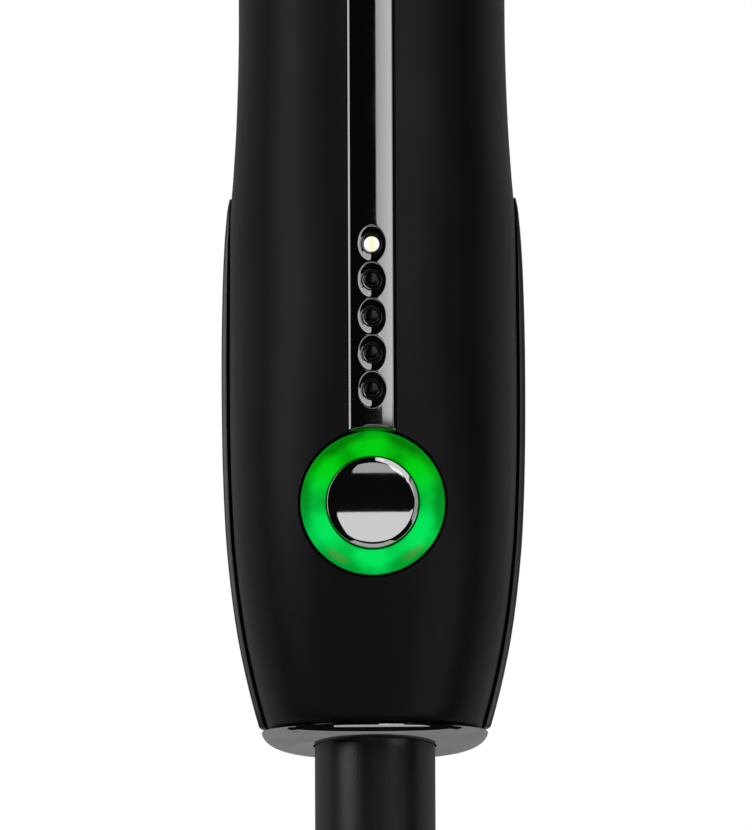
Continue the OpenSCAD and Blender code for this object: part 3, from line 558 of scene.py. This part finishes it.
# Its glow, by radius, by angle and from the tip side to the cord side; shares add up before the fade. On top
# of it come a painted highlight on the bevel and two painted reflections of the cord-side light low on the
# face.
ringGlow = {"emitters": 6, "lobeShare": 0.38, "coreShare": 0.45, "patchShare": 0.5, "patchScale": 420,
            "outerFade": (8.8, 6.9), "innerFade": (5.7, 6.3, 0.75, 1.0), "range": (0.12, 0.8),
            "coolSide": (5.0, -4.0), "rim": (8.5, 8.62), "paintedHighlightSide": (0.0, 7.0, 0.0, 0.3),
            "shown": (-0.3, -0.1), "reflectionBand": ((7.2, 7.7), (8.5, 8.1)), "paintedReflectionShare": 0.38,
            "rightPaintedReflection": ((-1.15, -0.9), (-0.62, -0.85)), "leftPaintedReflection": ((-2.4, -2.2), (-1.9, -2.1)),
            "dim": ((0.0, 0.19, 0.0005), (0.0, 0.34, 0.03)), "bright": ((0.0, 0.6, 0.004), (0.0, 0.76, 0.1)),
            "paintedHighlightColour": (0.0, 0.36, 0.02), "paintedReflectionColour": (0.12, 0.22, 0.07), "wall": (0.0, 0.001, 0.0),
            "base": ((0.0, 0.03, 0.001), (0.0, 0.06, 0.004))}


def makeGreenRing():
    finish, place, feed = newFinish("greenRing", Emission_Strength=1.0, Roughness=0.45, IOR=1.35,
                                    Specular_IOR_Level=0.15)
    offset = place.shifted(frontPoint(0, opening["ringZ"] * mm, ring["face"] * mm))
    x, y, up = [offset.part(axis) / mm for axis in "XYZ"]
    angle = y.maths("ARCTAN2", y, x)
    radius = (x * x + y * y) ** 0.5

    def between(value, rising, falling):
        return value.fade(*rising) * value.fade(*falling)

    turn = angle * ringGlow["emitters"] + math.pi
    lobes = turn.maths("COSINE", turn) * 0.5 + 0.5    # one bright spot over each emitter
    core = between(radius, ringGlow["outerFade"], ringGlow["innerFade"])
    patchy = place.noise(ringGlow["patchScale"]) - 0.5
    glow = (lobes * ringGlow["lobeShare"] + core * ringGlow["coreShare"]
            + patchy * ringGlow["patchShare"]).fade(*ringGlow["range"])
    cool = y.fade(*ringGlow["coolSide"])
    face = glow.blend(cool.blend(*ringGlow["dim"]), cool.blend(*ringGlow["bright"]))
    # painted highlight: a lighter green line on the outer bevel, growing towards the tip side
    rim = radius.fade(*ringGlow["rim"]) * y.fade(*ringGlow["paintedHighlightSide"])    # a lighter line on the bevel
    face = rim.blend(face, ringGlow["paintedHighlightColour"])
    # painted reflections of the cord-side light: two greyish marks near the outer edge, low on the face
    paintedReflections = between(radius, *ringGlow["reflectionBand"]) * (between(angle, *ringGlow["rightPaintedReflection"])
                                                          + between(angle, *ringGlow["leftPaintedReflection"]))
    face = (paintedReflections * ringGlow["paintedReflectionShare"]).blend(face, ringGlow["paintedReflectionColour"])
    height = up * math.cos(tilt) + y * math.sin(tilt)
    shown = height.fade(*ringGlow["shown"])    # only the face glows, not the side walls
    feed(Base_Color=glow.blend(*ringGlow["base"]), Emission_Color=shown.blend(ringGlow["wall"], face))
    return finish


ringOutline = [(ring["bore"], ring["seat"])]
ringOutline += [(ring["bore"] + out, ring["face"] + rise) for out, rise in ring["lip"]]
inner, outer = ringOutline[-1][0], ring["outer"] - ring["bevel"]
for i in range(1, ring["crownSteps"]):
    t = i / ring["crownSteps"]
    ringOutline.append((inner + (outer - inner) * t, ring["face"] + 4 * ring["crown"] * t * (1 - t)))
for i in range(ring["bevelSteps"] + 1):
    q = math.pi / 2 * i / ring["bevelSteps"]
    ringOutline.append((outer + ring["bevel"] * math.sin(q),
                        ring["face"] - ring["bevel"] * (1 - math.cos(q))))
ringOutline += [(ring["outer"], ring["seat"]), (ring["bore"], ring["seat"])]
lightRing = turned("lightRing", ringOutline, ring["steps"], ringMiddle)
finishPiece(lightRing, "handle", makeGreenRing(), ["light_ring"], layFront)

# Push button: a low crown inside a chamfer, whose bead is given as (radius, height from the face).
button = {"radius": 5.6, "face": 15.214, "crown": 0.065, "faceRadius": 4.98, "faceDrop": 0.002,
          "skirt": 12.75, "wall": 1.0, "rings": 14, "steps": 160,
          "bead": [(5.6, -0.3), (5.595, -0.23), (5.58, -0.185), (5.555, -0.155), (5.525, -0.1356),
                   (5.5, -0.1284), (5.14, -0.0252), (5.11, -0.0174), (5.07, -0.009), (5.02, -0.004)]}
buttonOutline = [(button["radius"] - button["wall"], button["skirt"]), (button["radius"], button["skirt"])]
buttonOutline += [(r, button["face"] + rise) for r, rise in button["bead"]]
for i in range(button["rings"] + 1):
    share = 1 - i / button["rings"]
    buttonOutline.append((button["faceRadius"] * share,
                          button["face"] - button["faceDrop"] + button["crown"] * (1 - share * share)))
pushButton = turned("pushButton", buttonOutline, button["steps"], ringMiddle)
finishPiece(pushButton, "button", chrome, ["power_button"], layFront)

# End cap: rings from its bore over the leaning, hollow underside and the round to the lip and the tongue.
cap = {"lip": 3.3, "half": (13.9, 12.1), "power": 2.3, "drop": 2.1, "lean": 2.3, "hollow": 0.4,
       "round": (3.8, 2.0), "steps": 18, "lipRound": [(-0.12, 0), (-0.03, 0.04), (0, 0.12)],
       "tongue": (10.8, 9.0), "tongueTop": 5.6, "bore": 7.6, "boreTop": 3.1, "segments": 32}
endCap = emptyPiece("endCap")
capRings = [(cap["boreTop"], cap["bore"], cap["bore"], 2, 0),
            (cap["lip"] - cap["drop"] + cap["hollow"], cap["bore"], cap["bore"], 2, cap["lean"])]
for i in range(cap["steps"]):
    q = math.pi / 2 * (1 - i / cap["steps"])
    a, b = [half - draw * (1 - math.cos(q)) for half, draw in zip(cap["half"], cap["round"])]
    capRings.append((cap["lip"] - cap["drop"] * math.sin(q), a, b, cap["power"], cap["lean"] * math.sin(q)))
for rise, draw in cap["lipRound"]:
    capRings.append((cap["lip"] + rise, *[half - draw for half in cap["half"]], cap["power"], 0))
capRings += [(z, *cap["tongue"], cap["power"], 0) for z in (cap["lip"], cap["tongueTop"])]
bridgePairs(capRings, cap["segments"])
finishPiece(endCap, "handle", chrome, ["end_cap"])

# Cord sleeve: plain at the cap and ribbed at its free end; a rib is (share of its step, sunk or not).
sleeve = {"top": 2.6, "radius": 7.4, "neck": (-14.5, -15.0), "neckRadius": 6.9, "ribs": 5, "ribStep": 4.8,
          "ribFrom": -39.0, "ribRadius": (5.0, 1.6), "groove": 0.9,
          "ribPoints": ((0.96, 1), (0.66, 1), (0.62, 0), (0, 0)), "end": -39.997, "endRadius": 4.6,
          "bore": 3.6, "boreTop": -9.0, "socket": 4.4, "steps": 96}
sleeveOutline = [(sleeve["socket"], sleeve["top"]), (sleeve["radius"], sleeve["top"]),
                 (sleeve["radius"], sleeve["neck"][0]), (sleeve["neckRadius"], sleeve["neck"][1])]
for i in reversed(range(sleeve["ribs"])):
    base = sleeve["ribFrom"] + i * sleeve["ribStep"]
    r = sleeve["ribRadius"][0] + sleeve["ribRadius"][1] * i / sleeve["ribs"]
    for share, sunk in sleeve["ribPoints"]:
        sleeveOutline.append((r - sleeve["groove"] * sunk, base + share * sleeve["ribStep"]))
sleeveOutline += [(sleeve["endRadius"], sleeve["end"]), (sleeve["bore"], sleeve["end"]),
                  (sleeve["bore"], sleeve["boreTop"]), (sleeve["socket"], sleeve["boreTop"]),
                  (sleeve["socket"], sleeve["top"])]
cordSleeve = turned("cordSleeve", sleeveOutline, sleeve["steps"])
finishPiece(cordSleeve, "swivel", sleeveRubber, ["cord_sleeve"])

# Collar: both edges are rounded alike, as (distance from the edge, how far it draws in).
collar = {"start": 136.0, "end": 139.2, "half": (16.9, 14.0), "power": 2.2, "segments": 32,
          "edge": [(0, 0.35), (0.1, 0.1), (0.35, 0)]}
collarRing = emptyPiece("collarRing")
collarRows = [(collar["start"] + rise, draw) for rise, draw in collar["edge"]]
collarRows += [(collar["end"] - rise, draw) for rise, draw in reversed(collar["edge"])]
for z, draw in collarRows:
    addOval(z, collar["half"][0] - draw, collar["half"][1] - draw, collar["power"], collar["segments"])
bridgeOvals()
finishPiece(collarRing, "handle", chrome, ["collar_ring"])

# Guard: eases from the oval of the handle to a round end, then turns into its bore.
guard = {"start": 139.2, "length": 11.0, "half": (16.5, 13.6), "power": 2.2, "endRadius": 13.2, "bore": 12.55,
         "roundShare": 0.75, "steps": 16, "segments": 32, "inward": [(0.01, 0), (0.02, 0.02)]}
barrelGuard = emptyPiece("barrelGuard")
for i in range(guard["steps"] + 1):
    part = i / guard["steps"]
    q = math.pi / 2 * part
    share = guard["roundShare"] * math.sin(q) + (1 - guard["roundShare"]) * part
    ease = 1 - math.cos(q)
    a, b = [half + (guard["endRadius"] - half) * ease for half in guard["half"]]
    addOval(guard["start"] + guard["length"] * share, a, b, guard["power"] + (2 - guard["power"]) * ease,
            guard["segments"])
for rise, draw in guard["inward"]:
    r = guard["bore"] - draw
    addOval(guard["start"] + guard["length"] + rise, r, r, 2, guard["segments"])
bridgeOvals()
finishPiece(barrelGuard, "handle", heatproofBlack, ["barrel_guard"])

barrel = {"start": 141.2, "end": 306.2, "radius": (12.5, 9.3), "rows": 24}
barrelOutline = []
for i in range(barrel["rows"] + 1):
    share = i / barrel["rows"]
    barrelOutline.append((barrel["radius"][0] + (barrel["radius"][1] - barrel["radius"][0]) * share,
                          barrel["start"] + (barrel["end"] - barrel["start"]) * share))
barrelTube = turned("barrelTube", barrelOutline)
finishPiece(barrelTube, "handle", barrelCoat, ["barrel"])

# Grey rim and cool tip; the tip's near edge is (how far it draws in, distance from its start).
tip = {"rim": 9.5, "rimStart": 306.2, "start": 308.2, "radius": 10.19, "end": 336.2, "round": 7.0,
       "inner": 8.0, "edge": [(0.4, 0), (0.1, 0.1), (0, 0.4)], "roundSteps": 12}
tipRim = turned("tipRim", [(tip["inner"], tip["rimStart"]), (tip["rim"], tip["rimStart"]),
                           (tip["rim"], tip["start"]), (tip["inner"], tip["start"])])
finishPiece(tipRim, "handle", heatproofGrey, ["tip_insulator"])
tipOutline = [(tip["inner"], tip["start"])]
tipOutline += [(tip["radius"] - draw, tip["start"] + rise) for draw, rise in tip["edge"]]
for i in range(tip["roundSteps"] + 1):
    q = math.pi / 2 * i / tip["roundSteps"]
    tipOutline.append((tip["radius"] - tip["round"] * (1 - math.cos(q)),
                       tip["end"] - tip["round"] * (1 - math.sin(q))))
tipOutline.append((0, tip["end"]))
coolTip = turned("coolTip", tipOutline)
finishPiece(coolTip, "handle", heatproofBlack, ["cool_tip"])

# Finishes of the pieces inside: dark and light tone, roughness, metal or not, and the pieces.
inside = {
    "dark_plastic": [(0.012, 0.012, 0.013), (0.02, 0.02, 0.021), 0.4, 0,
                     "button_plunger tact_switch swivel_housing microcontroller triac"],
    "red_plastic": [(0.4, 0.02, 0.015), (0.5, 0.03, 0.02), 0.4, 0, "switch_stem"],
    "pale_plastic": [(0.6, 0.58, 0.52), (0.7, 0.68, 0.62), 0.4, 0, "swivel_spindle thrust_washer"],
    "steel": [(0.45, 0.45, 0.46), (0.58, 0.58, 0.59), 0.3, 1,
              "handle_screws board_screws tip_screw heater_spring spindle_clip"],
    "brass": [(0.6, 0.42, 0.16), (0.72, 0.52, 0.22), 0.3, 1,
              "slip_ring_live slip_ring_neutral swivel_bush brush_live brush_neutral"],
    "board": [(0.01, 0.09, 0.03), (0.015, 0.13, 0.045), 0.4, 0, "main_board"],
    "led_package": [(0.65, 0.63, 0.5), (0.8, 0.78, 0.65), 0.35, 0, "indicator_leds ring_leds"],
    "capacitor_film": [(0.45, 0.25, 0.03), (0.6, 0.34, 0.05), 0.4, 0, "filter_capacitor"],
    "capacitor_can": [(0.02, 0.025, 0.05), (0.03, 0.035, 0.07), 0.35, 0, "smoothing_capacitor"],
    "ceramic_body": [(0.6, 0.58, 0.53), (0.72, 0.7, 0.65), 0.55, 0,
                     "mains_fuse thermal_fuse ptc_heater thermistor"],
    "supply_wire": [(0.16, 0.07, 0.03), (0.22, 0.1, 0.045), 0.45, 0, "supply_leads"],
    "heat_wire": [(0.5, 0.48, 0.44), (0.6, 0.58, 0.53), 0.6, 0, "heater_leads sensor_leads"],
    "aluminium": [(0.7, 0.7, 0.71), (0.8, 0.8, 0.81), 0.35, 1, "upper_heat_spreader lower_heat_spreader"],
    "amber_film": [(0.5, 0.2, 0.02), (0.62, 0.28, 0.04), 0.25, 0, "heater_insulation"],
}
innerLook = {"roughSpread": 0.05, "grainSize": 0.4, "grainHeight": 0.004}
innerFinish = {}
for slotName, (dark, light, rough, metal, names) in inside.items():
    roughRange = (rough - innerLook["roughSpread"], rough + innerLook["roughSpread"])
    finish = moulded("inner_" + slotName, dark, light, roughRange, innerLook["grainSize"],
                     innerLook["grainHeight"], Metallic=metal)
    innerFinish[slotName] = finish
    for name in names.split():
        nodes[name].data.materials.clear()
        nodes[name].data.materials.append(finish)
print("inner finishes done")

# Return spring under the button.
coil = {"turns": 4, "radius": 5.6, "wire": 0.25, "start": 7.3, "end": 10.854, "sides": 8, "steps": 24,
        "travel": 0.5}
returnSpring = emptyPiece("returnSpring")
bpy.ops.mesh.primitive_circle_add(vertices=coil["sides"], radius=coil["wire"] * mm,
                                  location=(coil["radius"] * mm, 0, coil["start"] * mm),
                                  rotation=(math.pi / 2, 0, 0))
bpy.ops.object.mode_set(mode="OBJECT")
wind = returnSpring.modifiers.new("wind", "SCREW")
wind.iterations = coil["turns"]
wind.screw_offset = (coil["end"] - coil["start"]) / coil["turns"] * mm
wind.steps = wind.render_steps = coil["steps"]
bpy.ops.object.modifier_apply(modifier=wind.name)
bpy.ops.object.mode_set(mode="EDIT")
mergeAll()
bpy.ops.mesh.fill_holes(sides=0)
bpy.ops.mesh.select_all(action="SELECT")
bpy.ops.transform.translate(value=(0, opening["ringZ"] * mm, 0))
finishPiece(returnSpring, "handle", innerFinish["steel"], ["button_spring"], layFront)
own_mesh(returnSpring)

# The camera looks from the cord side; "height" is what it sees from top to bottom at the target.
view = {"target": (0.45, 40.8, 15.0), "across": 0.55, "fromCord": 6.5, "lens": 500.0, "sensor": 36.0,
        "height": 101.2, "roll": -0.32, "clip": (0.05, 40)}
target = frontPoint(*[value * mm for value in view["target"]])


def areaLight(name, wide, high, radiance, matrix):
    data = bpy.data.lights.new(name, "AREA")
    data.shape = "RECTANGLE"
    data.size, data.size_y = wide, high
    data.energy = radiance * math.pi * wide * high
    light = bpy.data.objects.new(name, data)
    bpy.context.scene.collection.objects.link(light)
    light.matrix_world = matrix
    light.visible_camera = False


def panel(name, left, right, near, far, radiance, height):
    # level panel over the wand; its sides are distances in metres from the target, far is towards the tip
    matrix = turnFront.to_4x4()
    matrix.translation = target + turnFront @ Vector(((left + right) / 2, (near + far) / 2, height))
    areaLight(name, right - left, far - near, radiance, matrix)


# A row of panels that grows brighter to the right; their sides are angles from the target.
rightSteps = {"angles": [1.63, 2.8, 4.0, 5.2, 6.4, 7.6, 9.0], "radiance": (0.8, 1.17), "far": 0.25,
              "height": 0.2, "near": [0.0235, 0.0235, 0.0202, 0.0202, 0.0202, 0.0202]}
dimmest, brightest = rightSteps["radiance"]
sides = [rightSteps["height"] * math.tan(math.radians(angle)) for angle in rightSteps["angles"]]
for i, near in enumerate(rightSteps["near"]):
    share = i / (len(rightSteps["near"]) - 1)
    panel(f"rightPanel{i + 1}", sides[i], sides[i + 1], near, rightSteps["far"],
          dimmest + (brightest - dimmest) * share, rightSteps["height"])

# The other panels: left, right, near and far side, radiance, height over the target.
panels = {
    "rightFill": (0.0317, 0.1063, 0.0235, 0.25, 0.85, 0.2),
    "rightWing": (0.11, 0.145, -0.09, 0.108, 0.4, 0.2),
    "cordWing": (0.32, 0.9, -0.25, -0.07, 1.1, 0.5),
    "lowCard": (-0.28, 0.5, -0.32, -0.22, 0.5, 0.5),
    "leftPanel": (-1.3, -0.4, -0.08, 0.7, 1.15, 0.5),
    "cordCard": (-0.063, 0.1, 0.02, 0.0805, 0.86, 1.0),
    "tipCard": (-0.04, 0.05, 0.14, 0.17, 0.47, 1.0),
}
for name, values in panels.items():
    panel(name, *values)

# a low, wide light that stands on the floor at the cord end
backdrop = {"away": 1.5, "wide": 4.0, "high": 0.45, "radiance": 0.27}
stand = Matrix.Translation((0, -backdrop["away"], backdrop["high"] / 2))
areaLight("backdrop", backdrop["wide"], backdrop["high"], backdrop["radiance"],
          stand @ Matrix.Rotation(math.pi / 2, 4, "X"))

# The floor is white to the camera, less so in reflections, and keeps a trace of the shadow.
ground = {"size": 14, "below": 0.05, "rough": 0.9, "noise": 3, "seen": 0.9, "mirrored": 0.12, "glow": 1.1,
          "tones": ((0.84, 0.84, 0.84), (0.86, 0.86, 0.86))}
clearSelection()
bpy.ops.mesh.primitive_plane_add(size=ground["size"], location=(0, 0, -ground["below"] * mm))
floor = called("floor")
floorFinish, floorPlace, floorFeed = newFinish("floorWhite", Roughness=ground["rough"])
floorFeed(Base_Color=floorPlace.noise(ground["noise"]).blend(*ground["tones"]))
tree = floorFinish.node_tree
seen = (floorPlace.node("ShaderNodeLightPath", output="Is Camera Ray") * ground["seen"]
        + floorPlace.node("ShaderNodeLightPath", output="Is Glossy Ray") * ground["mirrored"])
glow = floorPlace.node("ShaderNodeEmission", {}, {"Color": (1, 1, 1, 1), "Strength": ground["glow"]})
shaded = Socket(tree, tree.nodes["Principled BSDF"].outputs[0])
mixed = floorPlace.node("ShaderNodeMixShader", {}, {0: seen, 1: shaded, 2: glow})
tree.links.new(mixed.link, tree.nodes["Material Output"].inputs["Surface"])
floor.data.materials.append(floorFinish)

surroundings = {"dark": (0.004, 0.004, 0.004), "seen": (1, 1, 1)}
world = bpy.data.worlds.new("studio")
bpy.context.scene.world = world
world.use_nodes = True
tree = world.node_tree
path = Socket(tree, tree.nodes.new("ShaderNodeLightPath").outputs["Is Camera Ray"])
surround = path.blend(surroundings["dark"], surroundings["seen"])
tree.links.new(surround.link, tree.nodes["Background"].inputs["Color"])

cameraData = bpy.data.cameras.new("camera")
cameraData.lens = view["lens"]
cameraData.sensor_width = view["sensor"]
cameraData.clip_start, cameraData.clip_end = view["clip"]
camera = bpy.data.objects.new("camera", cameraData)
bpy.context.scene.collection.objects.link(camera)
slopes = [math.tan(math.radians(angle)) for angle in (view["across"], -view["fromCord"])]
way = turnFront @ Vector((*slopes, 1)).normalized()    # from the target to the camera
side = (Vector((1, 0, 0)) - way * way.x).normalized()
place = Matrix((side, way.cross(side), way)).transposed().to_4x4()
place.translation = target + way * view["height"] * mm * view["lens"] / view["sensor"]
camera.matrix_world = place @ Matrix.Rotation(math.radians(view["roll"]), 4, "Z")
bpy.context.scene.camera = camera
bpy.context.scene.view_settings.view_transform = "Standard"
print("stage done")
